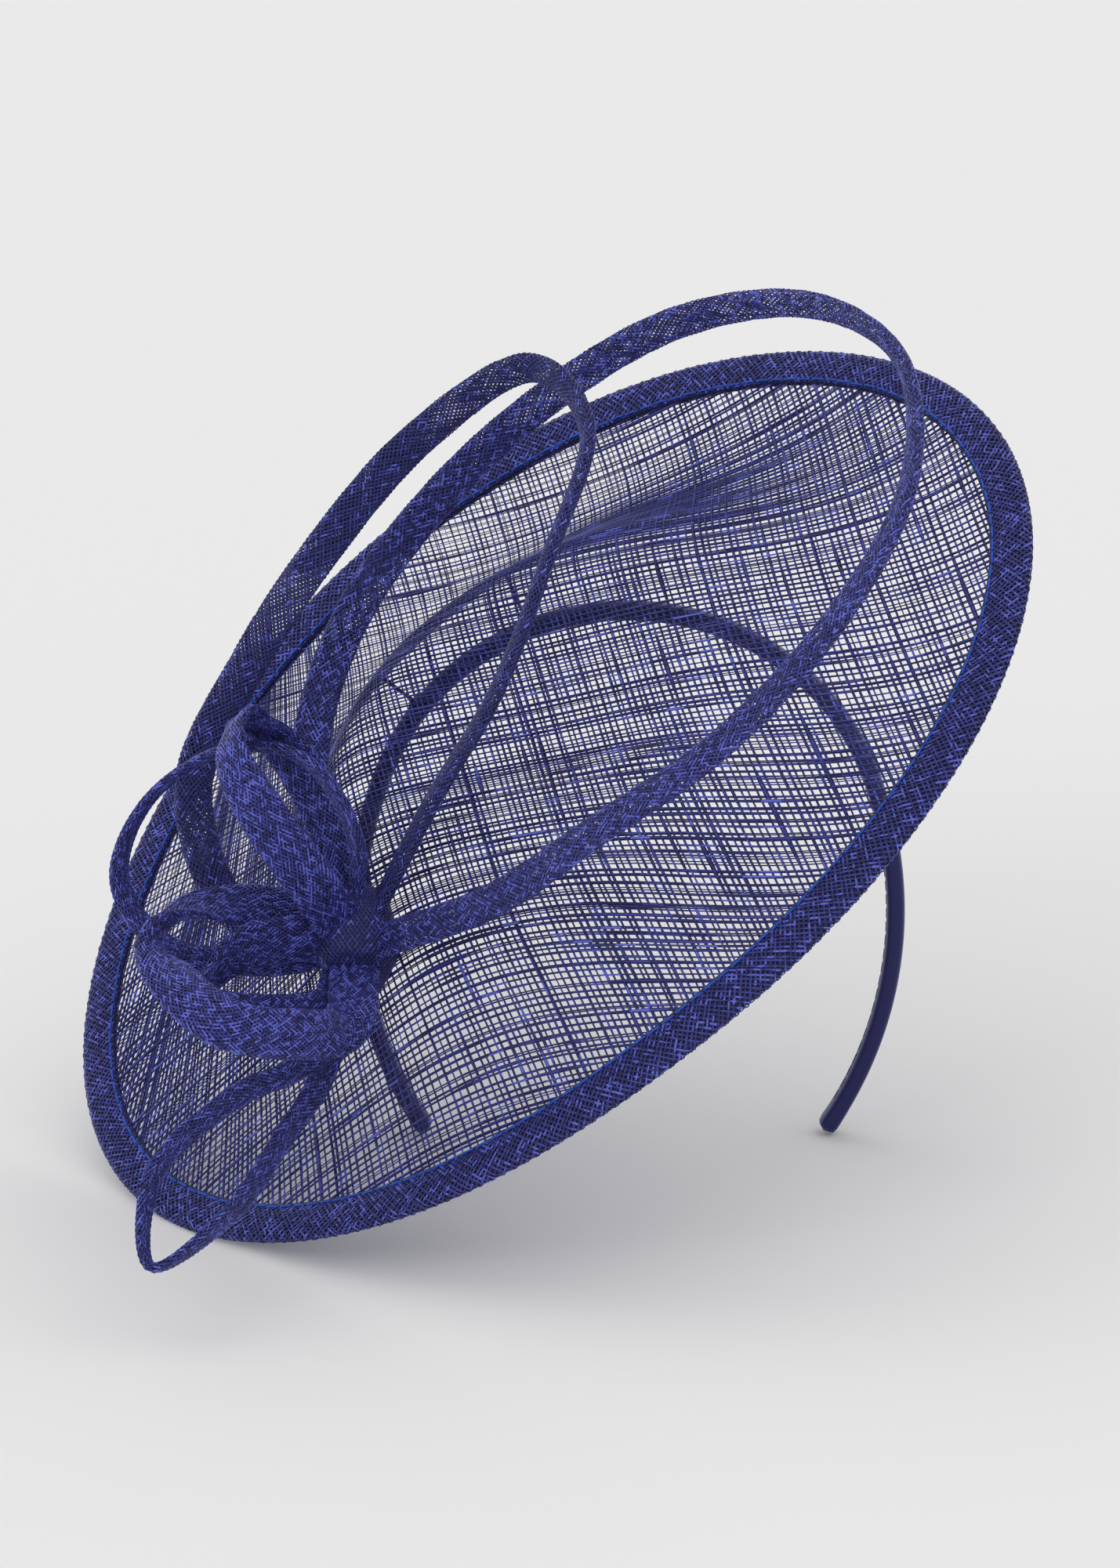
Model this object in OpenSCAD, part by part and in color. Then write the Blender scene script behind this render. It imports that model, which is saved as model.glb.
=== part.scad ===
// Sheer disc headpiece on a covered headband, with looped strips of trim.
// Origin: centre of the headband's crown arc. +Y is the back of the head.

/* [Headband] */
// Radius of the crown arc, to the middle of the band
band_r = 70.5; // [64:0.5:80]
// Half-angle of the crown arc
band_half_angle = 68; // [60:1:75]
// Radius of each leg, to the middle of the band
leg_r = 112.5; // [100:0.5:130]
// Angle that each leg turns through
leg_sweep = 53.3; // [45:0.1:58]
// Width of the covered band, front to back
band_w = 7; // [6:0.5:12]
// Thickness of the covered band
band_t = 5; // [4.5:0.1:6]
// Width of the steel core
core_w = 5; // [3:0.1:5.5]
// Thickness of the steel core
core_t = 1.2; // [0.8:0.1:2]
// Length of each tip cap
cap_len = 5; // [4:0.5:8]
// Extra width and thickness of each tip cap
cap_extra = 0.6; // [0:0.1:1.5]

/* [Disc] */
// Overall length of the disc, over its binding
disc_long = 310; // [260:1:340]
// Overall width of the disc, over its binding
disc_wide = 238; // [200:1:260]
// Height of the crown above the brim
crown_h = 38; // [25:1:50]
// Reach of the crown's slope towards the trim, at half its height
crown_reach_trim = 75; // [60:1:85]
// Reach of the crown's slope away from the trim
crown_reach_end = 100; // [80:1:110]
// Reach of the crown's slope to the front
crown_reach_front = 73; // [60:1:80]
// Reach of the crown's slope to the back
crown_reach_back = 82; // [70:1:90]
// How sharply the crown turns into the brim at the front
crown_edge = 2.2; // [1.6:0.1:3]
// How sharply the crown turns into the brim at the back
crown_edge_back = 5.5; // [2.2:0.1:7]
// Crown centre, off the disc's own centre
crown_at = [1, -23];
// Lift of the brim along the disc's length
warp_along = -3; // [-8:0.5:8]
// Twist of the brim between its length and width
warp_twist = 2.5; // [-8:0.5:8]
// Thickness of each sinamay ply
ply_t = 0.7; // [0.4:0.1:1]

/* [Brim edge] */
// Width of the folded binding
binding_w = 10.5; // [8:0.5:14]
// Thickness of the folded binding
binding_t = 3.2; // [3:0.1:4]
// Thickness of the binding's cloth
binding_wall = 0.7; // [0.4:0.1:0.8]
// Diameter of the millinery wire inside the binding
wire_d = 1.3; // [0.8:0.1:1.4]
// Diameter of the topstitching thread
stitch_d = 0.7; // [0.4:0.1:1]
// Number of topstitches round the brim
stitch_count = 120; // [60:1:140]

/* [Trim] */
// Width of the two tall tubes of braid
tall_w = 10; // [6:0.5:11]
// Thickness of the two tall tubes of braid
tall_t = 3.4; // [2:0.1:4]
// Width of the thin ring
thin_w = 8; // [5:0.5:9]
// Width of the wide loops
wide_w = 13; // [9:0.5:14]
// Width of the hanging loop
hang_w = 8; // [6:0.5:9]
// Thickness of the flat strips
flat_t = 2.4; // [1.6:0.1:3]
// Half-length, half-width and half-depth of the knot
knot_half = [18, 11.5, 7];
// Depth of the knot's front half, which covers the ends of the strips
knot_bulge = 12; // [7:0.5:14]

/* [Fit] */
// Clearance between the two plies
ply_gap = 0.1; // [0.05:0.05:0.4]
// Clearance round what lies inside a fold
fold_gap = 0.25; // [0.1:0.05:0.4]
// Gap between the covered band and the disc where they are tacked
seat_gap = 12.5; // [8:0.5:16]

/* [Hidden] */
$fn = 180;

satin = "#2a2857";
royal = "#2f3aa0";
royal_light = "#4152c4";
navy = "#23235c";
thread_blue = "#1f5fd0";
steel = "#9a9ca0";

// Headband: the crown arc runs up and over, and a leg goes on from each end of it.
leg_centre_d = band_r - leg_r;
leg_start = 90 - band_half_angle;
leg_end = leg_start - leg_sweep;
tip = leg_centre_d * [cos(leg_start), sin(leg_start)] + leg_r * [cos(leg_end), sin(leg_end)];
core_gap = 0.1;

// Disc: tilted forward and to the left of the head, and spun so that its length runs up to the right.
disc_turn = -44;
disc_tilt = 45;
disc_spin = 63;
disc_a = disc_long / 2;
disc_b = disc_wide / 2;
seat_angle = 126;
seat_on_disc = [8.6, 43.1];
tack_angles = [142, 112];
tack_w = 4;
tack_t = 0.6;
tack_grip = 3.5;
tack_shank_r = 1.5;

// Grid of the cloth and of the rings round the brim
brim_steps = 72;
cloth_rings = 16;
span_steps = 4;

function rot_z(a) = [[cos(a), -sin(a), 0], [sin(a), cos(a), 0], [0, 0, 1]];
function rot_x(a) = [[1, 0, 0], [0, cos(a), -sin(a)], [0, sin(a), cos(a)]];
function unit(v) = v / norm(v);

// Height of the cloth's middle surface over the disc's own plane
function crown_along(x) = (x - crown_at[0]) / (x > crown_at[0] ? crown_reach_end : crown_reach_trim);
function crown_across(y) = (y - crown_at[1]) / (y > crown_at[1] ? crown_reach_back : crown_reach_front);
function crown_ratio(x, y) = pow(crown_along(x), 2) + pow(crown_across(y), 2);
function crown_sharpness(x, y) =
    y <= crown_at[1] ? crown_edge :
    crown_edge + (crown_edge_back - crown_edge) * pow(crown_across(y), 2) / crown_ratio(x, y);
function brim_ratio(x, y) = pow(x / disc_a, 2) + pow(y / disc_b, 2);
function brim_angle(x, y) = atan2(y / disc_b, x / disc_a);
function cloth(x, y) =
    crown_h / (1 + pow(crown_ratio(x, y), crown_sharpness(x, y)))
    + pow(brim_ratio(x, y), 1.5)
    * (warp_along * cos(2 * brim_angle(x, y)) + warp_twist * sin(2 * brim_angle(x, y)));
function on_cloth(x, y, h = 0) = [x, y, cloth(x, y) + h];

// The disc is carried by the headband: its seat point lies a fixed gap outside the band.
disc_axes = rot_z(disc_turn) * rot_x(disc_tilt) * rot_z(disc_spin);
seat_r = band_r + band_t / 2 + seat_gap;
seat_point = seat_r * [cos(seat_angle), 0, sin(seat_angle)];
disc_origin = seat_point - disc_axes * on_cloth(seat_on_disc[0], seat_on_disc[1]);
function to_disc(p) = (p - disc_origin) * disc_axes;

// Radius at which a ray from the band's centre meets the cloth, found by halving
function above_cloth(r, a) =
    let(p = to_disc(r * [cos(a), 0, sin(a)])) p[2] - cloth(p[0], p[1]);
function reach(a, low, high, tries = 16) =
    let(mid = (low + high) / 2)
    tries == 0 ? mid :
    above_cloth(mid, a) > 0 ? reach(a, low, mid, tries - 1) : reach(a, mid, high, tries - 1);

module on_disc() {
    translate(disc_origin)
        rotate([0, 0, disc_turn])
            rotate([disc_tilt, 0, 0])
                rotate([0, 0, disc_spin])
                    children();
}

// ---- Headband ----

// Wedge between two angles, wide enough to cut any arc here
module wedge(from, to) {
    far = 2 * (leg_r + band_t);
    polygon(concat([[0, 0]], [for (k = [0:8]) let(a = from + (to - from) * k / 8) far * [cos(a), sin(a)]]));
}

module arc_strip(r, t, from, to) {
    intersection() {
        difference() {
            circle(r + t / 2);
            circle(r - t / 2);
        }
        wedge(from, to);
    }
}

// Side view of the band, t thick about its middle
module band_outline(t) {
    arc_strip(band_r, t, leg_start, 180 - leg_start);
    for (side = [0, 1])
        mirror([side, 0])
            translate(leg_centre_d * [cos(leg_start), sin(leg_start)])
                arc_strip(leg_r, t, leg_end, leg_start);
}

module band_solid(t, w) {
    rotate([90, 0, 0])
        linear_extrude(w, center = true)
            band_outline(t);
}

// Turns a section round the crown arc between two angles
module crown_arc(from, to) {
    rotate([90, 0, 0])
        rotate([0, 0, from])
            rotate_extrude(angle = to - from)
                translate([band_r, 0])
                    children();
}

module headband_core() {
    color(steel)
        band_solid(core_t, core_w);
}

module headband_cover() {
    color(satin)
        difference() {
            band_solid(band_t, band_w);
            band_solid(core_t + 2 * core_gap, core_w + 2 * core_gap);
        }
}

// A rounded nose that closes the cover at the tip
module right_cap() {
    translate([tip[0], 0, tip[1]])
        rotate([90, 0, 0])
            rotate([0, 0, leg_end])
                linear_extrude(band_w + cap_extra, center = true) {
                    translate([0, -(cap_len - band_t / 2) / 2])
                        square([band_t + cap_extra, cap_len - band_t / 2], center = true);
                    translate([0, -(cap_len - band_t / 2)])
                        intersection() {
                            circle(d = band_t + cap_extra);
                            translate([0, -band_t])
                                square(2 * band_t, center = true);
                        }
                }
}

module headband_cap_left() {
    color(satin)
        mirror([1, 0, 0])
            right_cap();
}

module headband_cap_right() {
    color(satin)
        right_cap();
}

// Stitches over the band's outer face and sides, with a shank up to the cloth
module tack(angle) {
    half = tack_w / band_r * 90 / PI;
    cloth_r = reach(angle, band_r, band_r + 40);
    crown_arc(angle - half, angle + half)
        difference() {
            translate([band_t / 2 + (tack_t - tack_grip) / 2, 0])
                square([tack_grip + tack_t, band_w + 2 * tack_t], center = true);
            square([band_t, band_w], center = true);
        }
    shank_from = band_r + band_t / 2 + tack_t / 2;
    rotate([0, 90 - angle, 0])
        translate([0, 0, shank_from])
            cylinder(h = cloth_r - shank_from, r = tack_shank_r, $fn = 24);
}

module band_tack_left() {
    color(navy)
        tack(tack_angles[0]);
}

module band_tack_right() {
    color(navy)
        tack(tack_angles[1]);
}

// ---- Disc ----

// The wire fills the nose of the fold, and the cloth stops just short of it.
fold_half = binding_t / 2 - binding_wall;
wire_inset = binding_wall + fold_half;
cloth_inset = wire_inset + wire_d / 2 + fold_gap;

// Point on the brim at an angle, a distance in from the edge and a height off the cloth
function brim_point(a, inset, h) =
    let(x = (disc_a - inset) * cos(a), y = (disc_b - inset) * sin(a)) on_cloth(x, y, h);

// One closed sheet of cloth between two heights off the middle surface
module cloth_sheet(low, high) {
    n = brim_steps;
    count = n * cloth_rings + 1;
    side = function (h) concat(
        [on_cloth(0, 0, h)],
        [for (j = [1:cloth_rings], i = [0:n - 1])
            let(r = j / cloth_rings, a = 360 * i / n)
            on_cloth((disc_a - cloth_inset) * r * cos(a), (disc_b - cloth_inset) * r * sin(a), h)]
    );
    at = function (j, i) 1 + (j - 1) * n + i % n;
    top = concat(
        [for (i = [0:n - 1]) [0, at(1, i + 1), at(1, i)]],
        [for (j = [1:cloth_rings - 1], i = [0:n - 1]) each [
            [at(j, i), at(j, i + 1), at(j + 1, i)],
            [at(j, i + 1), at(j + 1, i + 1), at(j + 1, i)]
        ]]
    );
    bottom = [for (f = top) [f[0] + count, f[2] + count, f[1] + count]];
    edge = [for (i = [0:n - 1]) each [
        [at(cloth_rings, i), at(cloth_rings, i + 1), at(cloth_rings, i) + count],
        [at(cloth_rings, i + 1), at(cloth_rings, i + 1) + count, at(cloth_rings, i) + count]
    ]];
    polyhedron(points = concat(side(high), side(low)), faces = concat(top, bottom, edge));
}

module sinamay_outer_ply() {
    color(royal)
        on_disc()
            cloth_sheet(ply_gap / 2, ply_gap / 2 + ply_t);
}

module sinamay_inner_ply() {
    color(royal_light)
        on_disc()
            cloth_sheet(-ply_gap / 2 - ply_t, -ply_gap / 2);
}

// A section of [inset, height] points carried all the way round the brim
module brim_ring(section) {
    n = brim_steps;
    m = len(section);
    at = function (i, k) (i % n) * m + k % m;
    polyhedron(
        points = [for (i = [0:n - 1], p = section) brim_point(360 * i / n, p[0], p[1])],
        faces = [for (i = [0:n - 1], k = [0:m - 1]) each [
            [at(i, k), at(i + 1, k), at(i, k + 1)],
            [at(i + 1, k), at(i + 1, k + 1), at(i, k + 1)]
        ]]
    );
}

module brim_wire() {
    color(steel)
        on_disc()
            brim_ring([for (a = [0:60:300]) [wire_inset + wire_d / 2 * cos(a), wire_d / 2 * sin(a)]]);
}

// A strip folded over the edge: two leaves joined by a round nose
module edge_binding() {
    nose = binding_t / 2;
    outside = [for (a = [90:30:270]) [nose + nose * cos(a), nose * sin(a)]];
    inside = [for (a = [270:-30:90]) [wire_inset + fold_half * cos(a), fold_half * sin(a)]];
    color(royal)
        on_disc()
            brim_ring(concat(
                [[binding_w, nose]],
                outside,
                [[binding_w, -nose], [binding_w, -fold_half]],
                inside,
                [[binding_w, fold_half]]
            ));
}

module binding_topstitch() {
    pitch = 360 / stitch_count;
    r = stitch_d / 2;
    inset = binding_w - 2 * stitch_d;
    h = binding_t / 2 + r;
    corners = [for (a = [45:90:315]) [inset + r * cos(a), h + r * sin(a)]];
    color(thread_blue)
        on_disc()
            for (k = [0:stitch_count - 1])
                polyhedron(
                    points = [for (a = [k * pitch, (k + 0.7) * pitch], c = corners) brim_point(a, c[0], c[1])],
                    faces = [
                        [0, 1, 2, 3], [7, 6, 5, 4],
                        [0, 4, 5, 1], [1, 5, 6, 2], [2, 6, 7, 3], [3, 7, 4, 0]
                    ],
                    convexity = 1
                );
}

// ---- Trim ----

// Where the trim is gathered, and the way that its strips are seen from the front
knot_at = [-62, -34];
knot_centre = on_cloth(knot_at[0], knot_at[1], knot_half[2] + 1);
knot_down = unit([-0.64, -0.56, -0.53]);
knot_side = unit([0.76, -0.42, -0.49]);
knot_front = unit([0.05, -0.72, 0.69]);
root_depth = 6;

// Routes of the strips: [x, y, height above the cloth, turn], where a turn of 0 faces the front
// and 90 is edge-on. Each strip also starts and ends at the knot.
route_tall_near = [
    [-21, -31, 16, 75], [11, -33, 33, 80], [44, -26, 52, 85], [72, -4, 63, 80], [70, 29, 71, 50],
    [35, 40, 58, 25], [-1, 38, 48, 10], [-36, 31, 45, 0], [-69, 22, 50, 0], [-82, -1, 29, 15]
];
route_tall_far = [
    [-24, -72, 22, 35], [9, -94, 48, 45], [49, -103, 61, 50], [91, -98, 70, 60], [126, -76, 72, 75],
    [145, -38, 71, 85], [137, 2, 67, 60], [108, 32, 63, 40], [69, 48, 53, 30], [27, 52, 35, 15],
    [-13, 44, 19, 0], [-45, 19, 11, 0]
];
route_thin_ring = [
    [-42, -24, 22, 65], [-40, -6, 36, 75], [-55, 9, 51, 85], [-79, 13, 67, 80], [-98, 3, 66, 60],
    [-99, -14, 50, 45], [-83, -25, 29, 30]
];
route_wide_front = [
    [-58, -34, 34, 0], [-56, -24, 51, 10], [-52, -8, 61, 50], [-44, 7, 49, 110], [-43, 1, 28, 160],
    [-48, -15, 16, 175]
];
route_wide_low = [
    [-71, -21, 31, 145], [-85, -22, 57, 125], [-95, -37, 76, 80], [-97, -59, 86, 30], [-93, -81, 82, 5],
    [-82, -82, 61, 0], [-73, -69, 35, 0]
];
route_inner_roll = [
    [-70, -33, 27, 20], [-82, -35, 46, 30], [-95, -43, 57, 90], [-89, -51, 43, 150], [-76, -51, 24, 165]
];
route_hanging = [
    [-85, -64, 32, 45], [-107, -73, 53, 45], [-133, -81, 60, 60], [-148, -99, 52, 90], [-125, -96, 45, 120],
    [-104, -79, 36, 130], [-87, -58, 20, 140]
];

function root(p) = concat(knot_centre + root_depth * unit([p[0], p[1], p[2]] - knot_centre), [p[3]]);
function lifted(p) = concat(on_cloth(p[0], p[1], p[2]), [p[3]]);
function rooted(route) =
    let(pts = [for (p = route) lifted(p)]) concat([root(pts[0])], pts, [root(pts[len(pts) - 1])]);

// Smooth curve through a list of points
function curve_at(a, b, c, d, t) =
    0.5 * (2 * b + (c - a) * t + (2 * a - 5 * b + 4 * c - d) * t * t + (3 * b - a - 3 * c + d) * t * t * t);
function curve(pts) =
    let(n = len(pts), ends = concat([2 * pts[0] - pts[1]], pts, [2 * pts[n - 1] - pts[n - 2]]))
    concat(
        [for (i = [1:n - 1], k = [0:span_steps - 1])
            curve_at(ends[i - 1], ends[i], ends[i + 1], ends[i + 2], k / span_steps)],
        [pts[n - 1]]
    );

// A flattened tube along a route, w wide and t thick
module strip(route, w, t) {
    path = curve(rooted(route));
    spots = [for (p = path) [p[0], p[1], p[2]]];
    n = len(path);
    section = [[-w / 2, 0], [-w / 3, t / 2], [w / 3, t / 2], [w / 2, 0], [w / 3, -t / 2], [-w / 3, -t / 2]];
    m = len(section);
    ring = function (i) let(
        along = unit(spots[min(i + 1, n - 1)] - spots[max(i - 1, 0)]),
        flat = unit(cross(along, knot_front)),
        edge = cross(flat, along),
        wide = cos(path[i][3]) * flat + sin(path[i][3]) * edge,
        thin = cross(along, wide)
    ) [for (s = section) spots[i] + s[0] * wide + s[1] * thin];
    at = function (i, k) i * m + k % m;
    polyhedron(
        points = [for (i = [0:n - 1]) each ring(i)],
        faces = concat(
            [[for (k = [m - 1:-1:0]) at(0, k)]],
            [for (i = [0:n - 2], k = [0:m - 1]) each [
                [at(i, k), at(i, k + 1), at(i + 1, k)],
                [at(i + 1, k), at(i, k + 1), at(i + 1, k + 1)]
            ]],
            [[for (k = [0:m - 1]) at(n - 1, k)]]
        )
    );
}

module loop_tall_near() {
    color(navy)
        on_disc()
            strip(route_tall_near, tall_w, tall_t);
}

module loop_tall_far() {
    color(royal)
        on_disc()
            strip(route_tall_far, tall_w, tall_t);
}

module loop_thin_ring() {
    color(royal)
        on_disc()
            strip(route_thin_ring, thin_w, flat_t);
}

module loop_wide_front() {
    color(royal_light)
        on_disc()
            strip(route_wide_front, wide_w, flat_t);
}

module loop_wide_low() {
    color(royal)
        on_disc()
            strip(route_wide_low, wide_w, flat_t);
}

module loop_inner_roll() {
    color(royal_light)
        on_disc()
            strip(route_inner_roll, wide_w, flat_t);
}

module loop_hanging() {
    color(royal)
        on_disc()
            strip(route_hanging, hang_w, flat_t);
}

// The gathered roots are bound with a strip that narrows to a point at its lower end.
module knot_wrap() {
    rings = 9;
    sides = 12;
    swell = function (s) s < 0 ? sqrt(1 - s * s) : pow(1 - s, 0.75);
    deep = function (a) sin(a) > 0 ? knot_bulge : knot_half[2];
    spot = function (s, a)
        knot_centre + knot_half[0] * s * knot_down
        + swell(s) * (knot_half[1] * cos(a) * knot_side + deep(a) * sin(a) * knot_front);
    at = function (j, i) 1 + j * sides + i % sides;
    last = 1 + rings * sides;
    color(navy)
        on_disc()
            polyhedron(
                points = concat(
                    [spot(-1, 0)],
                    [for (j = [1:rings], i = [0:sides - 1]) spot(2 * j / (rings + 1) - 1, 360 * i / sides)],
                    [spot(1, 0)]
                ),
                faces = concat(
                    [for (i = [0:sides - 1]) [0, at(0, i), at(0, i + 1)]],
                    [for (j = [0:rings - 2], i = [0:sides - 1]) each [
                        [at(j, i), at(j + 1, i), at(j, i + 1)],
                        [at(j + 1, i), at(j + 1, i + 1), at(j, i + 1)]
                    ]],
                    [for (i = [0:sides - 1]) [last, at(rings - 1, i + 1), at(rings - 1, i)]]
                )
            );
}

// Threads that sew the knot down through both plies
module trim_stitches() {
    thread_r = 0.6;
    spacing = 6;
    below = 1.5;
    color(navy)
        on_disc()
            for (k = [-1, 1])
                translate(knot_centre + [k * spacing / 2, 0, -knot_half[2] - 1 - below - ply_t])
                    cylinder(h = knot_half[2] + below, r = thread_r, $fn = 24);
}

headband_core();
headband_cover();
headband_cap_left();
headband_cap_right();
band_tack_left();
band_tack_right();
sinamay_outer_ply();
sinamay_inner_ply();
brim_wire();
edge_binding();
binding_topstitch();
loop_tall_near();
loop_tall_far();
loop_thin_ring();
loop_wide_front();
loop_wide_low();
loop_inner_roll();
loop_hanging();
knot_wrap();
trim_stitches();
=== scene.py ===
"""Looks of the sheer disc headpiece: real woven threads, satin band, and the trim's braided strips."""
from math import cos, pi, radians, sin
from typing import NamedTuple

import bpy
import numpy as np
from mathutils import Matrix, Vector


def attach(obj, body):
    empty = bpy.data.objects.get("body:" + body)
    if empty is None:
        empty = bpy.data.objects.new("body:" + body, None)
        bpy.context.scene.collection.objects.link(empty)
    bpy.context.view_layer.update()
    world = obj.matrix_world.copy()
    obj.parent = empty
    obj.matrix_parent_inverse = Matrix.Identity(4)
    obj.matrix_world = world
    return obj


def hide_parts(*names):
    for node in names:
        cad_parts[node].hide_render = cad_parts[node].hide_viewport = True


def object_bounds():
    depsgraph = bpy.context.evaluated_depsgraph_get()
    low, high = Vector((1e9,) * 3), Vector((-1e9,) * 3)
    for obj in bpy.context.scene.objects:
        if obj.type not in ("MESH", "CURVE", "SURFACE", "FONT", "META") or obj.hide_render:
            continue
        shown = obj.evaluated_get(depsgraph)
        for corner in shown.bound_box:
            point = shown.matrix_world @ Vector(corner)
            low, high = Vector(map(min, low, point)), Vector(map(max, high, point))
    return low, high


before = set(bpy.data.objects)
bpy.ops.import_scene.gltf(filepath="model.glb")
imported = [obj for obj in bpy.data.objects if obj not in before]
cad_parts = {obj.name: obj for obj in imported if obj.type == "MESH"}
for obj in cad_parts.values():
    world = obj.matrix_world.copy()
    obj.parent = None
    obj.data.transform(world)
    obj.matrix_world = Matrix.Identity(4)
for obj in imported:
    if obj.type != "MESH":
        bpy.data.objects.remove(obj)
cad_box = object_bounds()
MM = 0.001

# ---- Sizes, in millimetres, as in the CAD model ----
BAND_R, BAND_HALF_ANGLE = 70.5, 68.0
LEG_R, LEG_SWEEP = 112.5, 53.3
BAND_W, BAND_T, CAP_LEN = 7.0, 5.0, 5.0
DISC_A, DISC_B = 155.0, 119.0
CROWN_H, CROWN_AT = 38.0, (1.0, -23.0)
CROWN_REACH_TRIM, CROWN_REACH_END, CROWN_REACH_FRONT, CROWN_REACH_BACK = 75.0, 100.0, 73.0, 82.0
CROWN_EDGE, CROWN_EDGE_BACK = 2.2, 5.5
WARP_ALONG, WARP_TWIST = -3.0, 2.5
BINDING_W, BINDING_T = 10.5, 3.2
DISC_TURN, DISC_TILT, DISC_SPIN = -44.0, 45.0, 63.0
SEAT_ANGLE, SEAT_GAP, SEAT_ON_DISC = 126.0, 12.5, (8.6, 43.1)
TACK_ANGLES = (142.0, 112.0)
TACK_GRIP = 3.5
TALL_W, TALL_T, THIN_W, WIDE_W, HANG_W, FLAT_T = 10.0, 3.4, 8.0, 13.0, 8.0, 2.4
KNOT_AT, KNOT_HALF, KNOT_BULGE, ROOT_DEPTH = (-62.0, -34.0), (18.0, 11.5, 7.0), 12.0, 6.0

# Routes of the strips: x, y, height above the cloth, turn, as in the CAD model
ROUTES = {
    "tall_near": [
        (-21, -31, 16, 75), (11, -33, 33, 80), (44, -26, 52, 85), (72, -4, 63, 80), (70, 29, 71, 50),
        (35, 40, 58, 25), (-1, 38, 48, 10), (-36, 31, 45, 0), (-69, 22, 50, 0), (-82, -1, 29, 15)],
    "tall_far": [
        (-24, -72, 22, 35), (9, -94, 48, 45), (49, -103, 61, 50), (91, -98, 70, 60), (126, -76, 72, 75),
        (145, -38, 71, 85), (137, 2, 67, 60), (108, 32, 63, 40), (69, 48, 53, 30), (27, 52, 35, 15),
        (-13, 44, 19, 0), (-45, 19, 11, 0)],
    "thin_ring": [
        (-42, -24, 22, 65), (-40, -6, 36, 75), (-55, 9, 51, 85), (-79, 13, 67, 80), (-98, 3, 66, 60),
        (-99, -14, 50, 45), (-83, -25, 29, 30)],
    "wide_front": [
        (-58, -34, 34, 0), (-56, -24, 51, 10), (-52, -8, 61, 50), (-44, 7, 49, 110), (-43, 1, 28, 160),
        (-48, -15, 16, 175)],
    "wide_low": [
        (-71, -21, 31, 145), (-85, -22, 57, 125), (-95, -37, 76, 80), (-97, -59, 86, 30), (-93, -81, 82, 5),
        (-82, -82, 61, 0), (-73, -69, 35, 0)],
    "inner_roll": [
        (-70, -33, 27, 20), (-82, -35, 46, 30), (-95, -43, 57, 90), (-89, -51, 43, 150), (-76, -51, 24, 165)],
    "hanging": [
        (-85, -64, 32, 45), (-107, -73, 53, 45), (-133, -81, 60, 60), (-148, -99, 52, 90),
        (-125, -96, 45, 120), (-104, -79, 36, 130), (-87, -58, 20, 140)],
}


# ---- The disc's surface and place ----

WARP_GROWTH = 1.5


def rot_z(a):
    c, s = cos(radians(a)), sin(radians(a))
    return np.array([[c, -s, 0], [s, c, 0], [0, 0, 1.0]])


def rot_x(a):
    c, s = cos(radians(a)), sin(radians(a))
    return np.array([[1.0, 0, 0], [0, c, -s], [0, s, c]])


def cloth(x, y):
    """Height of the cloth's middle surface over the disc's own plane"""
    along, across = x - CROWN_AT[0], y - CROWN_AT[1]
    along = along / np.where(along > 0, CROWN_REACH_END, CROWN_REACH_TRIM)
    across = across / np.where(across > 0, CROWN_REACH_BACK, CROWN_REACH_FRONT)
    crown = along ** 2 + across ** 2
    back = np.where(across > 0, across ** 2 / np.maximum(crown, 1e-9), 0)
    edge = CROWN_EDGE + (CROWN_EDGE_BACK - CROWN_EDGE) * back
    brim = (x / DISC_A) ** 2 + (y / DISC_B) ** 2
    angle = np.arctan2(y / DISC_B, x / DISC_A)
    warp = WARP_ALONG * np.cos(2 * angle) + WARP_TWIST * np.sin(2 * angle)
    return CROWN_H / (1 + crown ** edge) + brim ** WARP_GROWTH * warp


DISC_AXES = rot_z(DISC_TURN) @ rot_x(DISC_TILT) @ rot_z(DISC_SPIN)
SEAT_R = BAND_R + BAND_T / 2 + SEAT_GAP
SEAT_POINT = SEAT_R * np.array([cos(radians(SEAT_ANGLE)), 0, sin(radians(SEAT_ANGLE))])
DISC_ORIGIN = SEAT_POINT - DISC_AXES @ np.array([*SEAT_ON_DISC, cloth(*SEAT_ON_DISC)])


def to_world(points):
    """Points from the disc's axes to the model's"""
    return points @ DISC_AXES.T + DISC_ORIGIN


def turned(vectors):
    """Directions from the disc's axes to the model's"""
    return vectors @ DISC_AXES.T


def unit(v):
    return v / np.maximum(np.linalg.norm(v, axis=-1, keepdims=True), 1e-9)


def rows_at(where, s, table):
    """Rows of a table, found by distance s along it"""
    return np.stack([np.interp(where, s, table[:, c]) for c in range(table.shape[1])], -1)


def run_length_flat(x, y):
    """Distance along a line in the disc's own plane"""
    return np.concatenate([[0], np.cumsum(np.hypot(np.diff(x), np.diff(y)))])


def run_length(points):
    """Distance along a line of points, from its first point"""
    return np.concatenate([[0], np.cumsum(np.linalg.norm(np.diff(points, axis=0), axis=1))])


def cloth_normal(x, y):
    e = 0.5
    slope_x = (cloth(x + e, y) - cloth(x - e, y)) / (2 * e)
    slope_y = (cloth(x, y + e) - cloth(x, y - e)) / (2 * e)
    return unit(np.stack([-slope_x, -slope_y, np.ones_like(x)], -1))


# ---- Materials ----

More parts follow.
